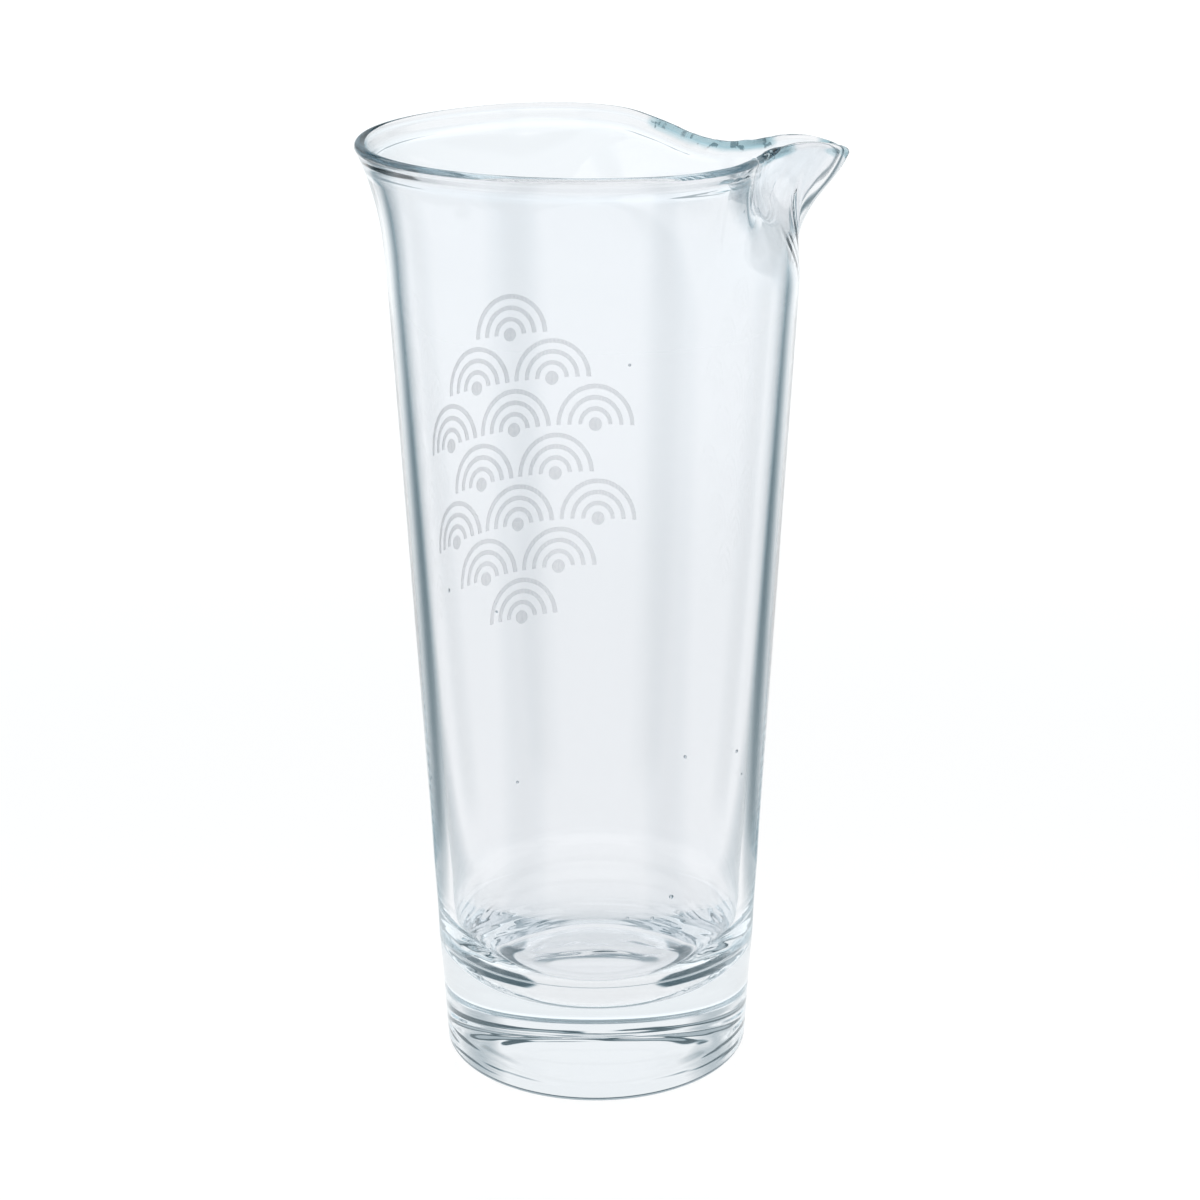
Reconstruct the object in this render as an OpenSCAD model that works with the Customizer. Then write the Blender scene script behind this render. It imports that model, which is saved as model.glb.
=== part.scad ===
// Cocktail pitcher: a handleless mixing jug of clear glass with a heavy base, a wall that
// widens slowly, a flared fire-polished rim with a pinched pouring spout, and a pattern
// of fans in pale enamel fired on one side. It stands on z = 0 with its spout towards +X.
// All sizes are in millimetres.

/* [Foot and base] */
// Height from the table to the top of the rim
pitcher_height = 240; // [220:1:270]
// Radius that the straight outer wall has when it is produced down to the table
base_r = 39.7; // [36:0.1:44]
// Rounding between the wall and the foot
heel_round = 2.6; // [1.5:0.1:4]
// Radius of the ground hollow under the base
punt_r = 18; // [12:0.5:26]
// Depth of the ground hollow
punt_depth = 1.8; // [0.8:0.1:3]
// Thickness of the glass floor at its middle
floor_thick = 21; // [14:0.5:26]
// Rounding between the floor and the wall inside
floor_round = 18; // [10:0.5:24]

/* [Wall and rim] */
// Radius of the outer wall where the rim starts to flare
neck_r = 50.3; // [47:0.1:53]
// Height of the flared part below the top of the rim
flare_height = 34; // [26:1:38]
// Outer radius of the rim away from the spout
rim_r = 57.2; // [54:0.1:60]
// Thickness of the wall just above the floor
wall_low = 4.1; // [3.4:0.1:5]
// Thickness of the wall at the rim
wall_top = 2.8; // [2.2:0.1:3.6]

/* [Spout] */
// Distance from the axis to the outside of the spout's tip
spout_reach = 67.3; // [62:0.5:72]
// Distance from the axis to the narrowest place of the spout
throat_reach = 45.5; // [42:0.5:49]
// Half of the spout's outer width at its narrowest place
throat_half = 8; // [7:0.1:11]
// How far the tip lies below the top of the rim
tip_drop = 6.6; // [4:0.1:9]
// How far the pinched rim beside the throat lies below the top of the rim
throat_drop = 5.2; // [3:0.1:7]
// How far down the wall the spout reaches
spout_depth = 36; // [30:1:39]

/* [Fired pattern] */
// Angle from the spout to the middle of the pattern
pattern_angle = 98; // [60:1:180]
// Distance from the top of the rim down to the middle of the pattern
pattern_drop = 91; // [85:1:110]
// Radius of one fan
fan_r = 10.9; // [8:0.1:11.2]
// Distance between neighbouring fans in a row
fan_pitch = 23.6; // [22.6:0.1:26]
// Distance between rows
row_pitch = 12.9; // [11.5:0.1:14]
// Width of the enamel lines
line_w = 1.2; // [0.8:0.05:1.4]
// Thickness of the enamel on the glass
enamel_t = 0.12; // [0.06:0.01:0.3]

/* [Hidden] */

// Fineness of the round shapes
round_fn = 180;

// The straight outer wall runs from base_r at the table to neck_r where the flare starts
flare_z = pitcher_height - flare_height;
wall_slope = (neck_r - base_r) / flare_z;
function wall_r(z) = base_r + wall_slope * z;

// The wall gets evenly thinner from the floor to the place where the spout's part begins
mouth_margin = 4;
mouth_z = pitcher_height - spout_depth - mouth_margin;
bowl_z = floor_thick + floor_round;
function wall_t(z) = wall_low + (wall_top - wall_low) * (z - bowl_z) / (mouth_z - bowl_z);
function cavity_r(z) = wall_r(z) - wall_t(z);
cavity_slope = (cavity_r(mouth_z) - cavity_r(bowl_z)) / (mouth_z - bowl_z);

// The rim ends in a round bead as thick as the wall
bead_r = wall_top / 2;
bead_z = pitcher_height - bead_r;
flare_out = rim_r - wall_r(bead_z);
flare_power = 2.6;
function flare_share(z) = z <= flare_z ? 0 : (z - flare_z) / (bead_z - flare_z);
function body_r(z) = wall_r(z) + flare_out * pow(flare_share(z), flare_power);

// Half of the rim's outline seen from above, from the tip of the spout round to its far end.
// The lip's stations: angle that the glass had before it was pinched, share of the lip's
// length in front of the throat, share of the throat's half width, share of the tip's drop
// and share of the throat's drop
lip_shares = [
    [0, 1, 0, 1, 0],
    [5, 0.91, 0.6, 0.85, 0],
    [10, 0.69, 0.95, 0.66, 0],
    [17, 0.35, 0.94, 0.4, 0.18],
    [24, 0, 1, 0, 0.86]
];
// The pinched flank's stations: angle before pinching, share of the throat's distance from
// the axis, share of the rim's radius, share of the throat's drop
flank_shares = [
    [30, 0.89, 0.208, 1],
    [38, 0.785, 0.334, 0.87],
    [50, 0.67, 0.54, 0.4],
    [62, 0.545, 0.74, 0.08],
    [75, 0.325, 0.915, 0]
];
// Angles of the stations on the round part of the rim, where nothing is pinched
free_angles = [90, 105, 120];
lip_length = spout_reach - throat_reach;
rim_stations = concat(
    [for (s = lip_shares) [s[0], throat_reach + lip_length * s[1], throat_half * s[2],
        tip_drop * s[3] + throat_drop * s[4]]],
    [for (s = flank_shares) [s[0], throat_reach * s[1], rim_r * s[2], throat_drop * s[3]]],
    [for (a = free_angles) [a, rim_r * cos(a), rim_r * sin(a), 0]]
);

// A smooth curve through the stations, mirrored about the spout's middle
station_n = len(rim_stations);
function station(i) = i >= 0 ? rim_stations[i]
    : [-rim_stations[-i][0], rim_stations[-i][1], -rim_stations[-i][2], rim_stations[-i][3]];
function tangent(i) = (station(i + 1) - station(i - 1))
    / (station(i + 1)[0] - station(i - 1)[0]);
function hermite(p, q, m, n, d, t) =
    p * (1 + 2 * t) * (1 - t) * (1 - t) + q * t * t * (3 - 2 * t)
    + m * d * t * (1 - t) * (1 - t) - n * d * t * t * (1 - t);
function span_of(a) = max([for (i = [0 : station_n - 3]) if (station(i)[0] <= a) i]);
function pinched(a) = let (
    i = span_of(a),
    d = station(i + 1)[0] - station(i)[0]
) hermite(station(i), station(i + 1), tangent(i), tangent(i + 1), d, (a - station(i)[0]) / d);
last_angle = free_angles[1];
function rim_point(a) = abs(a) >= last_angle ? [a, rim_r * cos(a), rim_r * sin(a), 0]
    : a >= 0 ? pinched(a)
    : let (p = pinched(-a)) [a, p[1], -p[2], p[3]];
// How far the pinching moved the rim at an angle: forwards, sideways and down
function rim_shift(a) = let (p = rim_point(a))
    [p[1] - rim_r * cos(a), p[2] - rim_r * sin(a), max(0, p[3])];

// Angles round the mouth, closer together at the spout
near_step = 2.5;
mid_step = 3.75;
far_step = 5;
near_end = 40;
mid_end = 85;
half_turn = 180;
full_turn = 2 * half_turn;
half_angles = concat(
    [for (a = [0 : near_step : near_end - near_step]) a],
    [for (a = [near_end : mid_step : mid_end - mid_step]) a],
    [for (a = [mid_end : far_step : half_turn]) a]
);
half_n = len(half_angles);
mouth_angles = concat(
    half_angles,
    [for (i = [half_n - 2 : -1 : 1]) full_turn - half_angles[i]]
);
mouth_n = len(mouth_angles);
function turned(a) = a > half_turn ? a - full_turn : a;

// The spout grows from nothing at spout_z to its full shape at the rim
spout_z = pitcher_height - spout_depth;
function growth(z) = let (v = max(0, (z - spout_z) / (bead_z - spout_z))) v * v * (3 - 2 * v);
side_power = 1.25;
function outer_point(a, z) = let (
    g = growth(z),
    s = rim_shift(turned(a)),
    side = s[0] < 0 ? pow(g, side_power) : g
) [body_r(z) * cos(a) + s[0] * side, body_r(z) * sin(a) + s[1] * side, z - s[2] * g * g];

// Direction across the wall, level, from the outline's neighbours
tangent_step = 1;
function across(a, z) = let (
    p = outer_point(a + tangent_step, z),
    q = outer_point(a - tangent_step, z),
    d = [p[0] - q[0], p[1] - q[1]],
    l = norm(d)
) [d[1] / l, -d[0] / l, 0];
function skin_point(a, z, inset, rise) =
    outer_point(a, z) - across(a, z) * inset + [0, 0, rise];

// Levels of the mouth's rings, as shares of its height
level_shares = [0, 0.13, 0.26, 0.38, 0.5, 0.61, 0.71, 0.8, 0.88, 0.94, 1];
// Where the mouth's foot stands inside the wall below it
tongue_depth = 5;
tongue_inset = 0.5;
tongue_rise = 0.6;
mouth_foot_z = mouth_z + tongue_rise;
function level(s) = mouth_foot_z + (bead_z - mouth_foot_z) * s;
bead_angles = [30, 60, 90, 120, 150];
mouth_rings = concat(
    [[mouth_z - tongue_depth, tongue_inset, 0]],
    [for (s = level_shares) [level(s), 0, 0]],
    [for (b = bead_angles) [bead_z, bead_r * (1 - cos(b)), bead_r * sin(b)]],
    [for (i = [len(level_shares) - 1 : -1 : 0]) [level(level_shares[i]), wall_top, 0]],
    [[mouth_z - tongue_depth, wall_top - tongue_inset, 0]]
);
ring_n = len(mouth_rings);

// The flared mouth with its spout: rings of points joined by triangles, inside and outside
module mouth() {
    points = [for (r = mouth_rings) for (a = mouth_angles) skin_point(a, r[0], r[1], r[2])];
    function at(r, i) = (r % ring_n) * mouth_n + (i % mouth_n);
    faces = [for (r = [0 : ring_n - 1]) for (i = [0 : mouth_n - 1]) for (half = [0, 1])
        half == 0 ? [at(r, i), at(r + 1, i), at(r + 1, i + 1)]
            : [at(r, i), at(r + 1, i + 1), at(r, i + 1)]];
    polyhedron(points, faces, convexity = 8);
}

// Outline of the straight body, from the axis outwards, with its rounded heel
heel_x = wall_r(heel_round) - heel_round * sqrt(1 + wall_slope * wall_slope);
module body_outline() {
    polygon([
        [0, 0],
        [heel_x, 0],
        [heel_x, heel_round],
        [wall_r(heel_round), heel_round],
        [wall_r(mouth_z), mouth_z],
        [0, mouth_z]
    ]);
    translate([heel_x, heel_round]) circle(r = heel_round, $fn = round_fn);
}

// Outline of the space inside, with the big rounding between floor and wall
bowl_lean = sqrt(1 + cavity_slope * cavity_slope);
bowl_x = cavity_r(bowl_z) - floor_round * bowl_lean;
overrun = 1;
module cavity_outline() {
    polygon([
        [0, floor_thick],
        [bowl_x, floor_thick],
        [bowl_x, bowl_z],
        [bowl_x + floor_round / bowl_lean, bowl_z - floor_round * cavity_slope / bowl_lean],
        [cavity_r(mouth_z + overrun), mouth_z + overrun],
        [0, mouth_z + overrun]
    ]);
    translate([bowl_x, bowl_z]) circle(r = floor_round, $fn = round_fn);
}

// The hollow under the base is part of a large sphere
punt_sphere_r = (punt_r * punt_r + punt_depth * punt_depth) / (2 * punt_depth);

// The vessel: one piece of glass from the foot to the lip
module glass_body() {
    color("lightcyan", 0.4) {
        difference() {
            union() {
                rotate_extrude($fn = round_fn) difference() {
                    body_outline();
                    cavity_outline();
                }
                mouth();
            }
            translate([0, 0, punt_depth - punt_sphere_r])
                sphere(r = punt_sphere_r, $fn = round_fn);
        }
    }
}

// Height of the middle of the pattern above the table
pattern_z = pitcher_height - pattern_drop;

// Numbers of fans in each row, from the lowest row up
row_counts = [1, 2, 3, 2, 3, 2, 1];
row_n = len(row_counts);

// Enamel as thick as enamel_t all round the wall, from which the pattern is cut
skin_low = pattern_z - row_pitch * row_n;
skin_high = pattern_z + row_pitch * row_n;
module enamel_skin() {
    rotate_extrude($fn = round_fn) polygon([
        [wall_r(skin_low), skin_low],
        [wall_r(skin_low) + enamel_t, skin_low],
        [wall_r(skin_high) + enamel_t, skin_high],
        [wall_r(skin_high), skin_high]
    ]);
}

// One fan: three arches over a dot
arch_shares = [1, 0.72, 0.44];
dot_share = 0.17;
module fan() {
    for (s = arch_shares) difference() {
        circle(r = fan_r * s, $fn = round_fn);
        circle(r = fan_r * s - line_w, $fn = round_fn);
        translate([-fan_r, -2 * fan_r]) square([2 * fan_r, 2 * fan_r]);
    }
    circle(r = fan_r * dot_share, $fn = round_fn);
}

// One fan on the wall, at its height and angle
module wall_fan(z, angle) {
    intersection() {
        enamel_skin();
        rotate([0, 0, angle]) translate([wall_r(z) / 2, 0, z])
            rotate([90, 0, 90]) linear_extrude(wall_r(z)) fan();
    }
}

// The pattern: rows of fans, each row set half a fan against the next
module fired_pattern() {
    color("whitesmoke") for (row = [0 : row_n - 1]) {
        z = pattern_z + (row - row_n / 2) * row_pitch;
        turn = fan_pitch / wall_r(z) * half_turn / PI;
        for (k = [0 : row_counts[row] - 1])
            wall_fan(z, pattern_angle + (k - (row_counts[row] - 1) / 2) * turn);
    }
}

glass_body();
fired_pattern();
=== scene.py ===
"""Looks of the glass cocktail pitcher: smooth clear glass with a streaky heavy base, fired
enamel fans, a plain pale table and soft studio light. The glass is drawn in millimetres
and turned into metres where its points are set. The table and the studio are in metres."""

import math

import bpy
from mathutils import Matrix, Vector, noise


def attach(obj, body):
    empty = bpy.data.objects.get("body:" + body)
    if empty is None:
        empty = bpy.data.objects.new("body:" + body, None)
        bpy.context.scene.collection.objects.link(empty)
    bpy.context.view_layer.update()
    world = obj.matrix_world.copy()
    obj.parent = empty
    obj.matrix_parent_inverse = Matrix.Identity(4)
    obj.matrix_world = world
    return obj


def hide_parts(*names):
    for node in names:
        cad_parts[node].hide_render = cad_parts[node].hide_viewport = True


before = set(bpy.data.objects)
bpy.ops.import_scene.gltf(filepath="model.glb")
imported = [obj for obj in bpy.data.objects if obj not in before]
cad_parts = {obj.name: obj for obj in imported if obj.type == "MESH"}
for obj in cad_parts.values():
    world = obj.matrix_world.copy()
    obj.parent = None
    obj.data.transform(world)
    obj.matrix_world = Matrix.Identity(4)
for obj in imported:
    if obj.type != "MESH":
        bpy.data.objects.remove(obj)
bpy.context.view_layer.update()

MM = 0.001

# Shape of the pitcher
HEIGHT = 240.0
BASE_R = 39.7
HEEL = 1.8
HOLLOW_R = 23.0
HOLLOW_DEPTH = 1.0
FLOOR = 21.0
FLOOR_ROUND = 22.0
NECK_R = 50.3
FLARE = 34.0
RIM_R = 57.2
WALL_LOW = 4.1
WALL_TOP = 2.8
SPOUT_REACH = 67.3
THROAT_REACH = 45.5
THROAT_HALF = 8.0
TIP_DROP = 6.6
THROAT_DROP = 5.2
SPOUT_DEPTH = 36.0
MOUTH_MARGIN = 4.0

# How fast the rim flares out, and how the flanks of the spout are drawn in below it
FLARE_POWER = 2.6
FLANK_POWER = 1.25

FLARE_Z = HEIGHT - FLARE
SLOPE = (NECK_R - BASE_R) / FLARE_Z
SPOUT_Z = HEIGHT - SPOUT_DEPTH
MOUTH_Z = HEIGHT - SPOUT_DEPTH - MOUTH_MARGIN
BOWL_Z = FLOOR + FLOOR_ROUND
BEAD = WALL_TOP / 2
BEAD_Z = HEIGHT - BEAD
# Above these heights the inner wall counts as inside, and the rim follows the spout
INSIDE_Z = FLOOR - 0.5
FORMED_Z = SPOUT_Z - 1

# The wall swells a little beside the floor and above it: height, width, amount
SWELLS = [(30.0, 6.5, 0.2), (52.0, 7.0, 0.1)]

# Ripples that the cold mould leaves round the hollow under the base: height, from this
# radius, to this radius, spacing outwards and round
RIPPLE = (0.2, 14.0, 26.0, 0.35, 0.1)
RIPPLE_FADE = 3.0
RIPPLE_LOWEST = -0.15
# They reach further out on both sides of the calm side, where they are weakest
CALM_SIDE = math.radians(-110)
RIPPLE_WIDER = (10.0, 0.6)

# The side of the hollow is long and gentle on the calm side, and short on the other:
# where it starts, and how the change goes round
HOLLOW_FROM = (4.0, 15.0)
HOLLOW_TURN = 0.6

# Small marks that the tool leaves on the rim where the spout is pinched: height, spacing,
# lowest level, the height over which they grow, and from which angle to which. The seed
# makes them the same each time
TOOL_MARKS = (0.28, 0.4, 234.5, 3.0)
TOOL_SPAN = (14.0, 48.0)
TOOL_SEED = 3

# Where the spout is pinched the lip is painted bluer and darker, partly for its gathered,
# thicker glass and partly as painted shade: from this angle to this one, the shares of the
# span over which it begins and ends, and how it weakens midway
GATHERED_SHADE = (19.0, 54.0)
GATHERED_SHADE_ENDS = (0.08, 0.12)
GATHERED_SHADE_MIDDLE = (0.55, 0.45, 1.5)
# The very tip of the spout is gathered and painted darker too: half its angle, how much
DRAWN_TIP_SHADE = (9.0, 0.9)
# How far below the bead the painted shade of the gathered glass reaches
GATHERED_SHADE_BELOW = 1.2

# Fire-polishing draws the rim into a bead that stands in a little: depth, place, width.
# It is drawn out where the spout is pinched, between these angles
BEAD_INSIDE = (0.55, 236.3, 1.2)
BEAD_FADE = (26.0, 40.0)

# Seeds, small bubbles left in the wall: direction round the axis, height, width
SEEDS = [
    (-83, 56.7, 1.2),
    (-99, 52.6, 0.8),
    (-90, 51.7, 0.9),
    (-56, 91.2, 1.0),
    (-52, 83.9, 0.7),
    (-141, 133.0, 0.7),
    (-24, 158.0, 0.9),
    (31, 66.0, 1.1),
    (58, 172.0, 0.8),
    (104, 58.0, 0.9),
    (137, 119.0, 1.2),
    (171, 77.0, 0.8),
]
SEED_INSET = 2.0
SEED_SEGMENTS = 16
SEED_RINGS = 10

# Half of the rim's outline seen from above, from the tip of the spout round. The lip:
# angle before pinching, share of the lip's length in front of the throat, of the throat's
# half width, of the tip's drop and of the throat's drop
LIP_SHARES = [
    (0, 1, 0, 1, 0),
    (5, 0.91, 0.6, 0.85, 0),
    (10, 0.69, 0.95, 0.66, 0),
    (17, 0.35, 0.94, 0.4, 0.18),
    (24, 0, 1, 0, 0.86),
]
# The pinched flank: angle before pinching, share of the throat's distance from the axis,
# of the rim's radius and of the throat's drop
FLANK_SHARES = [
    (30, 0.89, 0.208, 1),
    (38, 0.785, 0.334, 0.87),
    (50, 0.67, 0.54, 0.4),
    (62, 0.545, 0.74, 0.08),
    (75, 0.325, 0.915, 0),
]
# Where nothing is pinched any more, and from which of these angles on the rim is round
FREE_ANGLES = (90, 105, 120)
ROUND_FROM = FREE_ANGLES[1]

# The stations of the outline: angle before pinching, forwards, sideways, down
RIM_STATIONS = [
    (
        angle,
        THROAT_REACH + (SPOUT_REACH - THROAT_REACH) * forwards,
        THROAT_HALF * sideways,
        TIP_DROP * tip + THROAT_DROP * throat,
    )
    for angle, forwards, sideways, tip, throat in LIP_SHARES
] + [
    (angle, THROAT_REACH * forwards, RIM_R * sideways, THROAT_DROP * down)
    for angle, forwards, sideways, down in FLANK_SHARES
] + [
    (angle, RIM_R * math.cos(math.radians(angle)), RIM_R * math.sin(math.radians(angle)), 0)
    for angle in FREE_ANGLES
]

# How finely the section is drawn: rows over each part of it, and steps round the axis
HOLLOW_ROWS = 58
FOOT_RADII = (23.7, 24.4, 25.2, *range(26, 37))
HEEL_ROWS = 12
LOW_ROW = 1.4
LOW_TO = 40
WALL_ROW = 4.0
MOUTH_ROWS = 26
MOUTH_CROWD = 1.25
BEAD_ROWS = 12
CAVITY_ROWS = 34
BOWL_ROWS = 24
FLOOR_ROWS = 12
STEPS_ROUND = 320
# The steps round the axis crowd together at the spout
SPOUT_CROWD = 0.45
# Nearer than this to the axis or the table a point counts as lying on it, and points
# nearer than this to each other, in metres, are welded
TOUCH = 0.01
WELD = 0.0000015


def clamp(value):
    """Keeps a value between 0 and 1."""
    return min(1, max(0, value))


def smooth(value):
    """Goes from 0 to 1 with a soft start and a soft end."""
    return value * value * (3 - 2 * value)


def wall_r(z):
    """Radius of the straight outer wall."""
    return BASE_R + SLOPE * z


def wall_t(z):
    """Thickness of the wall between the floor's rounding and the mouth."""
    return WALL_LOW + (WALL_TOP - WALL_LOW) * (z - BOWL_Z) / (MOUTH_Z - BOWL_Z)


def body_r(z):
    """The outer wall with the flare of the rim."""
    share = max(0.0, (z - FLARE_Z) / (BEAD_Z - FLARE_Z))
    return wall_r(z) + (RIM_R - wall_r(BEAD_Z)) * share ** FLARE_POWER


def outer_r(z):
    """The outer wall with its faint swellings."""
    return body_r(z) + sum(a * math.exp(-((z - c) / w) ** 2) for c, w, a in SWELLS)


def stands_in(z):
    """How far the inside of the rim's bead stands in at a height."""
    depth, place, width = BEAD_INSIDE
    return depth * math.exp(-((z - place) / width) ** 2)


def station(i):
    """A station of the rim's outline, on either side of the spout."""
    if i >= 0:
        return RIM_STATIONS[i]
    a, x, y, d = RIM_STATIONS[-i]
    return (-a, x, -y, d)


def tangent(i):
    """How fast forwards, sideways and down change with the angle at a station."""
    p, q = station(i - 1), station(i + 1)
    return [(q[k] - p[k]) / (q[0] - p[0]) for k in (1, 2, 3)]


def rim_point(angle):
    """Where the rim's outline is after pinching: forwards, sideways, down."""
    a = abs(angle)
    if a >= ROUND_FROM:
        forwards = RIM_R * math.cos(math.radians(a))
        return [forwards, math.copysign(RIM_R * math.sin(math.radians(a)), angle), 0.0]
    i = max(k for k in range(len(RIM_STATIONS) - 2) if station(k)[0] <= a)
    p, q, m, n = station(i), station(i + 1), tangent(i), tangent(i + 1)
    d = q[0] - p[0]
    t = (a - p[0]) / d
    out = []
    for k in (0, 1, 2):
        out.append(
            p[k + 1] * (1 + 2 * t) * (1 - t) ** 2
            + q[k + 1] * t * t * (3 - 2 * t)
            + m[k] * d * t * (1 - t) ** 2
            - n[k] * d * t * t * (1 - t)
        )
    return [out[0], math.copysign(out[1], angle) if angle else 0.0, max(0.0, out[2])]


shift_cache = {}


def rim_shift(angle):
    """How far pinching moved the rim: forwards, sideways, down."""
    key = round(angle, 6)
    if key not in shift_cache:
        p = rim_point(key)
        c, s = math.cos(math.radians(key)), math.sin(math.radians(key))
        shift_cache[key] = (p[0] - RIM_R * c, p[1] - RIM_R * s, p[2])
    return shift_cache[key]


def growth(z):
    """How much of the pinching is felt at a height: none below the spout, all at the bead."""
    return smooth(max(0.0, (z - SPOUT_Z) / (BEAD_Z - SPOUT_Z)))


def outer_point(angle, z):
    """A point of the outer wall, with the spout formed."""
    angle = (angle + 180.0) % 360.0 - 180.0
    g = growth(z)
    s = rim_shift(angle)
    side = g ** FLANK_POWER if s[0] < 0 else g
    r = body_r(z)
    return Vector((
        r * math.cos(math.radians(angle)) + s[0] * side,
        r * math.sin(math.radians(angle)) + s[1] * side,
        z - s[2] * g * g,
    ))


def pinched(angle, r, z):
    """A point of the round mouth, moved to where it lies once the spout is formed."""
    level = min(z, BEAD_Z)
    p = outer_point(angle, level)
    d = outer_point(angle + 1, level) - outer_point(angle - 1, level)
    d.z = 0
    d.normalize()
    inset = body_r(level) - r
    if inset > WALL_TOP:
        near = clamp((BEAD_FADE[1] - abs(angle)) / (BEAD_FADE[1] - BEAD_FADE[0]))
        inset -= (inset - WALL_TOP) * near
    return p - Vector((d.y, -d.x, 0)) * inset + Vector((0, 0, z - level))


def foot_and_wall_outline():
    """The section from the middle of the base, out over the foot and up the outer wall."""
    pts = [(HOLLOW_R * k / HOLLOW_ROWS, 0.0) for k in range(HOLLOW_ROWS + 1)]
    pts += [(r, 0.0) for r in FOOT_RADII]
    heel_x = wall_r(HEEL) - HEEL * math.sqrt(1 + SLOPE ** 2)
    for k in range(HEEL_ROWS + 1):
        t = math.radians(90 * k / HEEL_ROWS)
        pts.append((heel_x + HEEL * math.sin(t), HEEL - HEEL * math.cos(t)))
    z = HEEL
    while z < MOUTH_Z:
        z += LOW_ROW if z < LOW_TO else WALL_ROW
        pts.append((outer_r(z), z))
    return pts


def mouth_outline(z):
    """The section up the outside of the mouth, round the bead and down the inside."""
    levels = []
    for k in range(MOUTH_ROWS + 1):
        s = k / MOUTH_ROWS
        levels.append(z + (BEAD_Z - z) * (1 - (1 - s) ** MOUTH_CROWD))
    pts = [(outer_r(level), level) for level in levels[1:]]
    bulge = stands_in(BEAD_Z) / 2
    for k in range(1, BEAD_ROWS):
        t = math.radians(180 * k / BEAD_ROWS)
        r = RIM_R - BEAD - bulge + (BEAD + bulge) * math.cos(t)
        pts.append((r, BEAD_Z + BEAD * math.sin(t)))
    for level in reversed(levels):
        pts.append((body_r(level) - WALL_TOP - stands_in(level), level))
    return pts


def cavity_outline(z):
    """The section down the inner wall, round the bowl and in to the middle of the floor."""
    pts = []
    for k in range(1, CAVITY_ROWS):
        level = z + (BOWL_Z - z) * k / CAVITY_ROWS
        pts.append((wall_r(level) - wall_t(min(level, MOUTH_Z)), level))
    cavity_slope = SLOPE + (WALL_LOW - WALL_TOP) / (MOUTH_Z - BOWL_Z)
    lean = math.sqrt(1 + cavity_slope ** 2)
    bowl_x = wall_r(BOWL_Z) - WALL_LOW - FLOOR_ROUND * lean
    start = math.degrees(math.atan(cavity_slope))
    for k in range(BOWL_ROWS + 1):
        t = math.radians(-start - (90 - start) * k / BOWL_ROWS)
        pts.append((bowl_x + FLOOR_ROUND * math.cos(t), BOWL_Z + FLOOR_ROUND * math.sin(t)))
    pts += [(bowl_x * (1 - k / FLOOR_ROWS), FLOOR) for k in range(1, FLOOR_ROWS + 1)]
    return pts


def glass_outline():
    """Half of the vessel's section, from the middle of the base, up outside and down
    inside to the middle of the floor."""
    low = foot_and_wall_outline()
    top_of_wall = low[-1][1]
    return low + mouth_outline(top_of_wall) + cavity_outline(top_of_wall)


def hollow(r, a):
    """The shallow hollow under the base and its ripples: the height of the glass over the
    table, at a distance from the axis and a direction."""
    far = 0.5 - 0.5 * math.cos(a - CALM_SIDE)
    start = HOLLOW_FROM[0] + (HOLLOW_FROM[1] - HOLLOW_FROM[0]) * far ** HOLLOW_TURN
    t = clamp((r - start) / (HOLLOW_R - start))
    high, r_in, r_out, across, along = RIPPLE
    r_out += RIPPLE_WIDER[0] * abs(math.sin(a - CALM_SIDE)) ** RIPPLE_WIDER[1]
    fade = clamp((r - r_in) / RIPPLE_FADE) * clamp((r_out - r) / RIPPLE_FADE)
    wave = noise.noise(Vector((r * across, r * math.cos(a) * along, r * math.sin(a) * along)))
    z = HOLLOW_DEPTH * (1 - smooth(t)) + 2 * high * fade * wave * far
    return max(z, RIPPLE_LOWEST)


def gathered_lip_shade(degrees, z):
    """How much the lip is gathered and painted darker, at an angle and a height."""
    around = (degrees - GATHERED_SHADE[0]) / (GATHERED_SHADE[1] - GATHERED_SHADE[0])
    height = clamp(z - BEAD_Z + GATHERED_SHADE_BELOW)
    if 0 < around < 1:
        least, more, power = GATHERED_SHADE_MIDDLE
        ends = min(1, around / GATHERED_SHADE_ENDS[0], (1 - around) / GATHERED_SHADE_ENDS[1])
        return ends * (least + more * abs(2 * around - 1) ** power) * height
    if degrees < DRAWN_TIP_SHADE[0]:
        return DRAWN_TIP_SHADE[1] * min(1, 2 * (1 - degrees / DRAWN_TIP_SHADE[0])) * height
    return 0.0


def tool_marked(p, degrees, z):
    """The same point with the marks of the tool that pinched the spout."""
    high, spacing, low, grows = TOOL_MARKS
    if z <= low or not TOOL_SPAN[0] < degrees < TOOL_SPAN[1]:
        return p
    along = 180 * (degrees - TOOL_SPAN[0]) / (TOOL_SPAN[1] - TOOL_SPAN[0])
    fade = math.sin(math.radians(along)) * min(1, (z - low) / grows)
    return p + noise.noise_vector(p * spacing) * high * fade


def nothing_selected():
    if bpy.context.object and bpy.context.object.mode != "OBJECT":
        bpy.ops.object.mode_set(mode="OBJECT")
    bpy.ops.object.select_all(action="DESELECT")


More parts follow.
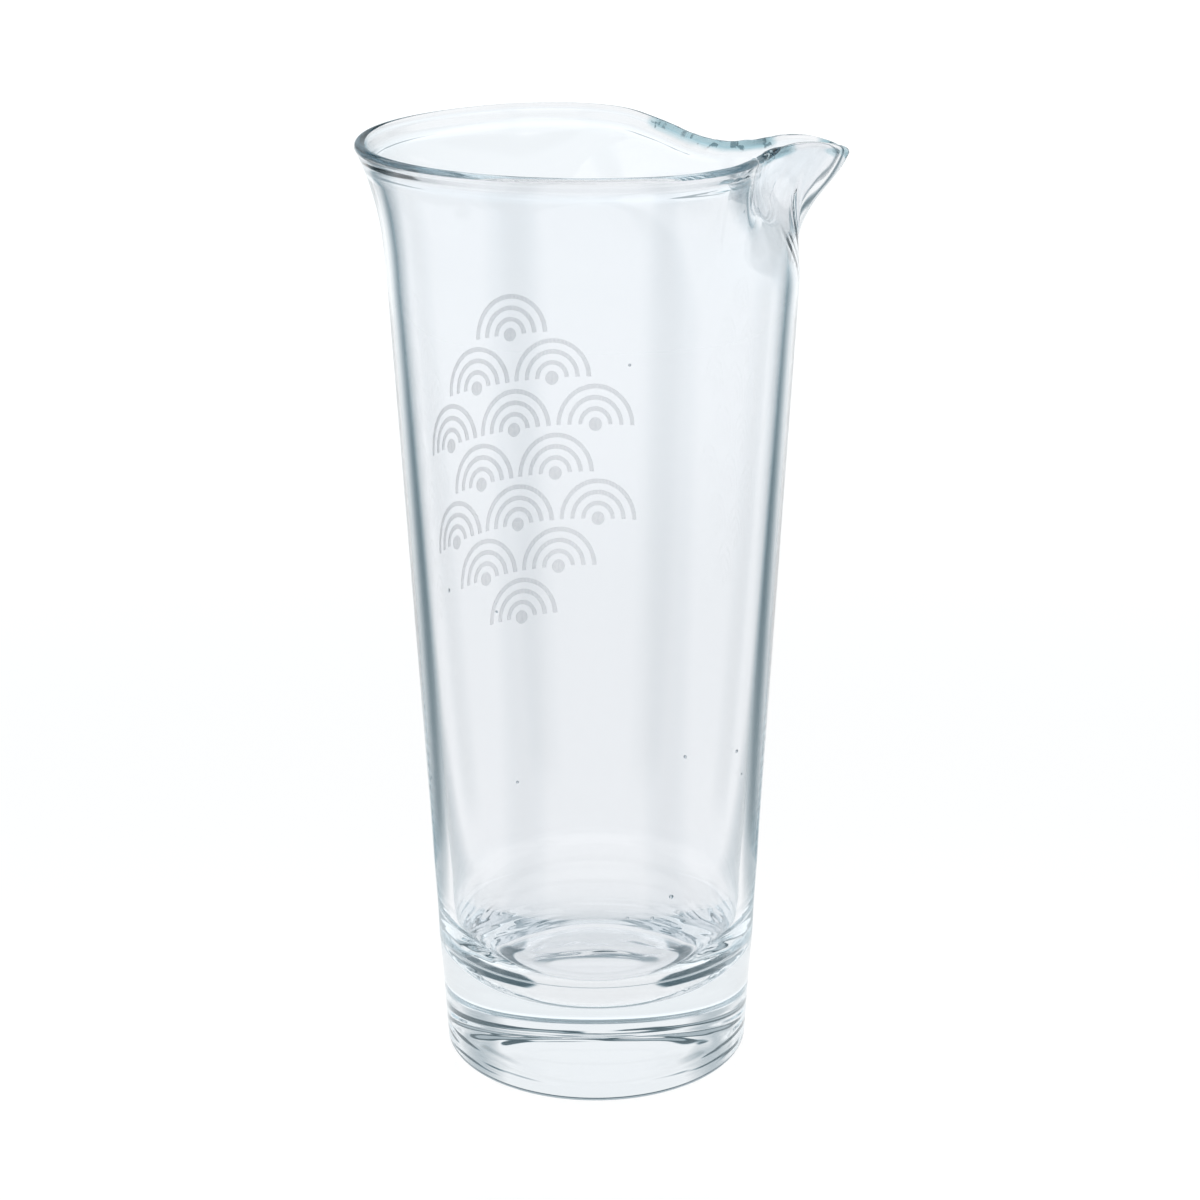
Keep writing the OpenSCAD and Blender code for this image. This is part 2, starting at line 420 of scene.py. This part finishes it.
def lathe(name, outline, steps):
    """Merges a small plane into the first point of an outline, draws the others from there
    and spins the outline round the axis."""
    nothing_selected()
    bpy.ops.mesh.primitive_plane_add(size=0.01, location=(0, 0, 0))
    piece = bpy.context.object
    piece.name = name
    piece.data.name = name
    bpy.ops.object.mode_set(mode="EDIT")
    bpy.ops.mesh.select_all(action="SELECT")
    bpy.ops.mesh.merge(type="CENTER")
    here = outline[0]
    bpy.ops.transform.translate(value=(here[0] * MM, 0, here[1] * MM))
    for point in outline[1:]:
        step = ((point[0] - here[0]) * MM, 0, (point[1] - here[1]) * MM)
        bpy.ops.mesh.extrude_vertices_move(TRANSFORM_OT_translate={"value": step})
        here = point
    bpy.ops.mesh.select_all(action="SELECT")
    bpy.ops.mesh.spin(steps=steps, angle=2 * math.pi, center=(0, 0, 0), axis=(0, 0, 1))
    bpy.ops.mesh.select_all(action="SELECT")
    bpy.ops.mesh.remove_doubles(threshold=WELD)
    bpy.ops.mesh.normals_make_consistent(inside=False)
    bpy.ops.object.mode_set(mode="OBJECT")
    bpy.ops.object.shade_smooth()
    return piece


def form_base_and_spout(vessel):
    """Presses the hollow into the base and pinches the spout, and marks the points that lie
    inside and those of the gathered lip, where the glass gets painted shade."""
    noise.seed_set(TOOL_SEED)
    inside = vessel.data.attributes.new("inside", "FLOAT", "POINT")
    lip = vessel.data.attributes.new("lip", "FLOAT", "POINT")
    for v in vessel.data.vertices:
        x, y, z = (c / MM for c in v.co)
        r = math.hypot(x, y)
        if r < TOUCH:
            v.co.z += HOLLOW_DEPTH * MM if z < TOUCH else 0.0
            continue
        u = math.atan2(y, x)
        a = u - SPOUT_CROWD * math.sin(u)
        degrees = abs(math.degrees(a))
        if z > INSIDE_Z and r < (outer_r(z) if z < BEAD_Z else RIM_R) - BEAD:
            inside.data[v.index].value = 1.0
        if z < TOUCH:
            z += hollow(r, a)
        if z > FORMED_Z:
            # Share of the painted shade of the gathered lip
            lip.data[v.index].value = gathered_lip_shade(degrees, z)
            v.co = tool_marked(pinched(math.degrees(a), r, z), degrees, z) * MM
        else:
            v.co = Vector((r * math.cos(a), r * math.sin(a), z)) * MM


def leave_seeds(vessel):
    """Joins the small bubbles into the glass, each with its faces turned inwards."""
    for turn, z, width in SEEDS:
        nothing_selected()
        u = math.radians(turn)
        r = body_r(z) - SEED_INSET
        bpy.ops.mesh.primitive_uv_sphere_add(
            segments=SEED_SEGMENTS,
            ring_count=SEED_RINGS,
            radius=width / 2 * MM,
            location=(r * math.cos(u) * MM, r * math.sin(u) * MM, z * MM),
        )
        bpy.ops.object.mode_set(mode="EDIT")
        bpy.ops.mesh.select_all(action="SELECT")
        bpy.ops.mesh.flip_normals()
        bpy.ops.object.mode_set(mode="OBJECT")
        bpy.ops.object.shade_smooth()
        vessel.select_set(True)
        bpy.context.view_layer.objects.active = vessel
        bpy.ops.object.join()


# Nodes of the materials
def node(tree, kind, **settings):
    made = tree.nodes.new(kind)
    for key, value in settings.items():
        setattr(made, key, value)
    return made


def put(tree, socket, value):
    """Links a node's output to a socket, or sets a plain value on it."""
    if isinstance(value, bpy.types.NodeSocket):
        tree.links.new(value, socket)
    else:
        socket.default_value = value


def maths(tree, operation, a, b=0.0):
    made = node(tree, "ShaderNodeMath", operation=operation)
    put(tree, made.inputs[0], a)
    put(tree, made.inputs[1], b)
    return made.outputs[0]


def ramp(tree, value, span, low, high, kind="SMOOTHSTEP"):
    """Goes from low to high while the value goes through the span."""
    made = node(tree, "ShaderNodeMapRange", interpolation_type=kind)
    for i, v in enumerate((value, span[0], span[1], low, high)):
        put(tree, made.inputs[i], v)
    return made.outputs[0]


def band(tree, value, edges):
    """1 between the two middle edges, and 0 outside the outer two."""
    rise = ramp(tree, value, edges[:2], 0, 1)
    return maths(tree, "MULTIPLY", rise, ramp(tree, value, edges[2:], 1, 0))


def blend(tree, factor, a, b):
    """Mixes two numbers or two colours."""
    colour = not isinstance(a, (int, float)) and getattr(a, "type", "RGBA") == "RGBA"
    made = node(tree, "ShaderNodeMix", data_type="RGBA" if colour else "FLOAT")
    put(tree, made.inputs[0], factor)
    put(tree, made.inputs[6 if colour else 2], a)
    put(tree, made.inputs[7 if colour else 3], b)
    return made.outputs[2 if colour else 0]


def plain_material(name):
    made = bpy.data.materials.new(name)
    made.use_nodes = True
    return made, made.node_tree, made.node_tree.nodes["Principled BSDF"]


# The glass
GLASS_IOR = 1.5
GLASS_COLOUR = (0.912, 0.922, 0.938, 1)
ABSORB_COLOUR = (0.72, 0.87, 0.93, 1)
ABSORB_DENSITY = 3.0
# Painted shade: the glass's colour is made darker and bluer where it is seen nearly edge
# on, most of all inside
EDGE_SHADE_FROM = 0.7
EDGE_SHADE_OUTSIDE = 0.25
EDGE_SHADE_COLOUR = (0.12, 0.25, 0.31, 1)
# The gathered lip is painted bluer, partly for its thicker glass and partly as painted
# shade, with painted shade at its ends
LIP_TINT_AND_SHADE = (0.40, 0.57, 0.63, 1)
LIP_SHADE = (0.03, 0.07, 0.09, 1)
LIP_FULL = 0.5
LIP_ENDS_FROM = (0.68, 0.95)
LIP_ENDS = 0.6
# It also has small dark spots of painted shade, like dark glints: how fine, how ragged,
# how many and how dark
SPOT_SCALE = 420.0
SPOT_DETAIL = 3.0
SPOT_FROM = (0.6, 0.66)
SPOT_SHADE = 0.9


def clear_glass():
    glass, tree, shader = plain_material("clear_glass")
    shader.inputs["Transmission Weight"].default_value = 1.0
    shader.inputs["Roughness"].default_value = 0.0
    shader.inputs["IOR"].default_value = GLASS_IOR
    edge = node(tree, "ShaderNodeLayerWeight")
    edge.inputs["Blend"].default_value = 0.5
    within = node(tree, "ShaderNodeAttribute", attribute_name="inside")
    edge_shade = ramp(tree, edge.outputs["Facing"], (EDGE_SHADE_FROM, 1), 0, 1)
    share = ramp(tree, within.outputs["Fac"], (0, 1), EDGE_SHADE_OUTSIDE, 1)
    lip_shade_mask = node(tree, "ShaderNodeAttribute", attribute_name="lip")
    place = node(tree, "ShaderNodeTexCoord")
    cloud = node(tree, "ShaderNodeTexNoise")
    cloud.inputs["Scale"].default_value = SPOT_SCALE
    cloud.inputs["Detail"].default_value = SPOT_DETAIL
    tree.links.new(place.outputs["Object"], cloud.inputs["Vector"])
    shade_spots = ramp(tree, cloud.outputs["Fac"], SPOT_FROM, 0, SPOT_SHADE)
    ends = ramp(tree, lip_shade_mask.outputs["Fac"], LIP_ENDS_FROM, 0, LIP_ENDS)
    # The lip's colour, with painted shade at its ends and in small spots
    lip_tint_and_shade = blend(tree, maths(tree, "MAXIMUM", shade_spots, ends), LIP_TINT_AND_SHADE, LIP_SHADE)
    in_lip = ramp(tree, lip_shade_mask.outputs["Fac"], (0, LIP_FULL), 0, 1)
    colour = blend(tree, in_lip, GLASS_COLOUR, lip_tint_and_shade)
    # Painted shade where the glass is seen nearly edge on
    colour = blend(tree, maths(tree, "MULTIPLY", edge_shade, share), colour, EDGE_SHADE_COLOUR)
    tree.links.new(colour, shader.inputs["Base Color"])
    absorb = node(tree, "ShaderNodeVolumeAbsorption")
    absorb.inputs["Color"].default_value = ABSORB_COLOUR
    absorb.inputs["Density"].default_value = ABSORB_DENSITY
    tree.links.new(absorb.outputs[0], tree.nodes["Material Output"].inputs["Volume"])
    return glass


vessel = lathe("pitcher_glass", glass_outline(), STEPS_ROUND)
form_base_and_spout(vessel)
leave_seeds(vessel)
vessel.data.materials.append(clear_glass())

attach(vessel, "root")
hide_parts("glass_body")

# The enamel
ENAMEL_COLOUR = (0.98, 0.98, 0.985, 1)
ENAMEL_CLEAR = 0.93
ENAMEL_ROUGH = 0.34


def fired_enamel():
    enamel, _, shader = plain_material("fired_enamel")
    shader.inputs["Base Color"].default_value = ENAMEL_COLOUR
    shader.inputs["Transmission Weight"].default_value = ENAMEL_CLEAR
    shader.inputs["Roughness"].default_value = ENAMEL_ROUGH
    return enamel


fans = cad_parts["fired_pattern"]
fans.data.materials.clear()
fans.data.materials.append(fired_enamel())

# Table and studio
SPOUT_TURN = math.radians(20)
# The studio is bright on four sides and dim between: how many sides, how dim the table
# and the sky are there, and how wide the dim parts are
BRIGHT_SIDES = 4.0
TABLE_DIM = 0.15
SKY_DIM = 0.6
DIM_TO = -0.4
# Dim places are also bluer
BLUE = (0.08, 0.54, 0.76, 1)
BLUE_POWER = 1.7

# The table lights rough things as a pale surface, and glows where it is seen
TABLE_SIZE = 12
TABLE_DROP = 0.0003
TABLE_COLOUR = (0.88, 0.88, 0.88, 1)
TABLE_SEEN = (0.12, 0.12, 0.12, 1)
TABLE_GLOW = 0.9
TABLE_ROUGH = 0.12
# How far from the pitcher its dim parts begin, and how it dims a little far away
NEAR_FAR = (0.05, 0.16)
DISTANT = 0.93
DISTANT_FROM = (0.5, 1.4)
# It is shaded under both sides of the foot and under the back of the hollow: how dark,
# where the sides begin, and the inner and outer edges of the two rings
FOOT_SIDES = 0.13
SIDES_FROM = (0.022, 0.025)
FOOT_RING = (0.0295, 0.0315, 0.037, 0.040)
HOLLOW_BACK = 0.4
BACK_FROM = (0, 0.009)
HOLLOW_RING = (0.0145, 0.0180, 0.0195, 0.0230)

# Brightness of the sky near the table, a little higher and straight up, with the heights
# between which each gives way to the next, and last how much it lights rough things
SKY_UNDER = 0.55
SKY_LOW = 0.12
SKY_LOW_FROM = (0.28, 0.34)
SKY_RISE = (0.42, 0.47)
SKY_TOP = 0.4
SKY_TOP_FROM = (0.78, 0.9)
SKY_FILL = 0.85

WHITE = (1, 1, 1, 1)


def studio_round(tree, vector, dim):
    """The studio is bright behind, before and on both sides of the pitcher, and dim between.
    Gives the brightness in a direction, and the direction's parts, turned with the view."""
    turned = node(tree, "ShaderNodeVectorRotate", rotation_type="Z_AXIS")
    turned.inputs["Angle"].default_value = SPOUT_TURN
    tree.links.new(vector, turned.inputs["Vector"])
    split = node(tree, "ShaderNodeSeparateXYZ")
    tree.links.new(turned.outputs[0], split.inputs[0])
    parts = split.outputs
    angle = maths(tree, "ARCTAN2", parts["Y"], parts["X"])
    sides = maths(tree, "COSINE", maths(tree, "MULTIPLY", angle, BRIGHT_SIDES))
    return ramp(tree, sides, (-1, DIM_TO), dim, 1, "LINEAR"), parts


def studio_colour(tree, strength):
    """Where the studio is dim it is also bluer."""
    lack = maths(tree, "MAXIMUM", maths(tree, "SUBTRACT", 1.0, strength), 0.0)
    return blend(tree, maths(tree, "POWER", lack, BLUE_POWER), WHITE, BLUE)


def pale_table():
    top, tree, shader = plain_material("pale_table")
    rays = node(tree, "ShaderNodeLightPath").outputs
    place = node(tree, "ShaderNodeTexCoord").outputs["Object"]
    span = node(tree, "ShaderNodeVectorMath", operation="LENGTH")
    tree.links.new(place, span.inputs[0])
    away = span.outputs["Value"]
    bright, parts = studio_round(tree, place, TABLE_DIM)
    bright = blend(tree, ramp(tree, away, NEAR_FAR, 0, 1), 1.0, bright)
    bright = maths(tree, "MULTIPLY", bright, ramp(tree, away, DISTANT_FROM, 1, DISTANT))
    sides = ramp(tree, maths(tree, "ABSOLUTE", parts["X"]), SIDES_FROM, 0, 1)
    foot = maths(tree, "MULTIPLY", band(tree, away, FOOT_RING), sides)
    bright = maths(tree, "MULTIPLY", bright, blend(tree, foot, 1.0, FOOT_SIDES))
    back = ramp(tree, parts["Y"], BACK_FROM, 0, 1)
    ring = maths(tree, "MULTIPLY", band(tree, away, HOLLOW_RING), back)
    bright = maths(tree, "MULTIPLY", bright, blend(tree, ring, 1.0, HOLLOW_BACK))
    bright = blend(tree, rays["Is Camera Ray"], bright, 1.0)
    seen = maths(tree, "MAXIMUM", rays["Is Camera Ray"], rays["Is Glossy Ray"])
    seen = maths(tree, "MAXIMUM", seen, rays["Is Transmission Ray"])
    colour = blend(tree, seen, TABLE_COLOUR, TABLE_SEEN)
    tree.links.new(colour, shader.inputs["Base Color"])
    glow = maths(tree, "MULTIPLY", maths(tree, "MULTIPLY", bright, seen), TABLE_GLOW)
    tree.links.new(glow, shader.inputs["Emission Strength"])
    tree.links.new(studio_colour(tree, bright), shader.inputs["Emission Color"])
    shader.inputs["Roughness"].default_value = TABLE_ROUGH
    return top


def soft_studio():
    world = bpy.data.worlds.new("soft_studio")
    world.use_nodes = True
    tree = world.node_tree
    ground = tree.nodes["Background"]
    rays = node(tree, "ShaderNodeLightPath").outputs
    place = node(tree, "ShaderNodeTexCoord").outputs["Generated"]
    bright, parts = studio_round(tree, place, SKY_DIM)
    height = parts["Z"]
    low = blend(tree, ramp(tree, height, SKY_LOW_FROM, 0, 1), SKY_UNDER, SKY_LOW)
    bright = blend(tree, ramp(tree, height, SKY_RISE, 0, 1), low, bright)
    bright = blend(tree, ramp(tree, height, SKY_TOP_FROM, 0, 1), bright, SKY_TOP)
    bright = blend(tree, rays["Is Camera Ray"], bright, 1.0)
    bright = blend(tree, rays["Is Diffuse Ray"], bright, SKY_FILL)
    tree.links.new(bright, ground.inputs["Strength"])
    tree.links.new(studio_colour(tree, bright), ground.inputs["Color"])
    return world


nothing_selected()
bpy.ops.mesh.primitive_plane_add(size=TABLE_SIZE, location=(0, 0, -TABLE_DROP))
table = bpy.context.object
table.name = "table_top"
table.data.materials.append(pale_table())

scene = bpy.context.scene
scene.world = soft_studio()

# Light runs down inside the wall from the rim to the base, so it is followed a long way
BOUNCES = 96
scene.cycles.max_bounces = BOUNCES
scene.cycles.transmission_bounces = BOUNCES
scene.cycles.glossy_bounces = BOUNCES

# The camera, worked out with the spout to the right and turned 20 degrees away. The focal
# length is in points of a square picture, the distances are in heights of the pitcher, and
# the angles are in radians
PICTURE = 1200
SENSOR = 36
NEAREST = 0.01
FOCAL = 2671.02
DISTANCE = 2.67253
LIFT = 1.44292
PITCH = 0.33612
ROLL = -0.00342
ASIDE = 0.00557

lens = bpy.data.cameras.new("photo_camera")
lens.sensor_width = SENSOR
lens.lens = SENSOR * FOCAL / PICTURE
lens.clip_start = NEAREST
camera = bpy.data.objects.new("photo_camera", lens)
scene.collection.objects.link(camera)
metre = HEIGHT * MM
look = Matrix.Rotation(math.pi / 2 - PITCH, 4, "X") @ Matrix.Rotation(ROLL, 4, "Z")
stand = Matrix.Translation((ASIDE * metre, -DISTANCE * metre, LIFT * metre))
camera.matrix_world = Matrix.Rotation(-SPOUT_TURN, 4, "Z") @ stand @ look
scene.camera = camera
scene.view_settings.view_transform = "Standard"
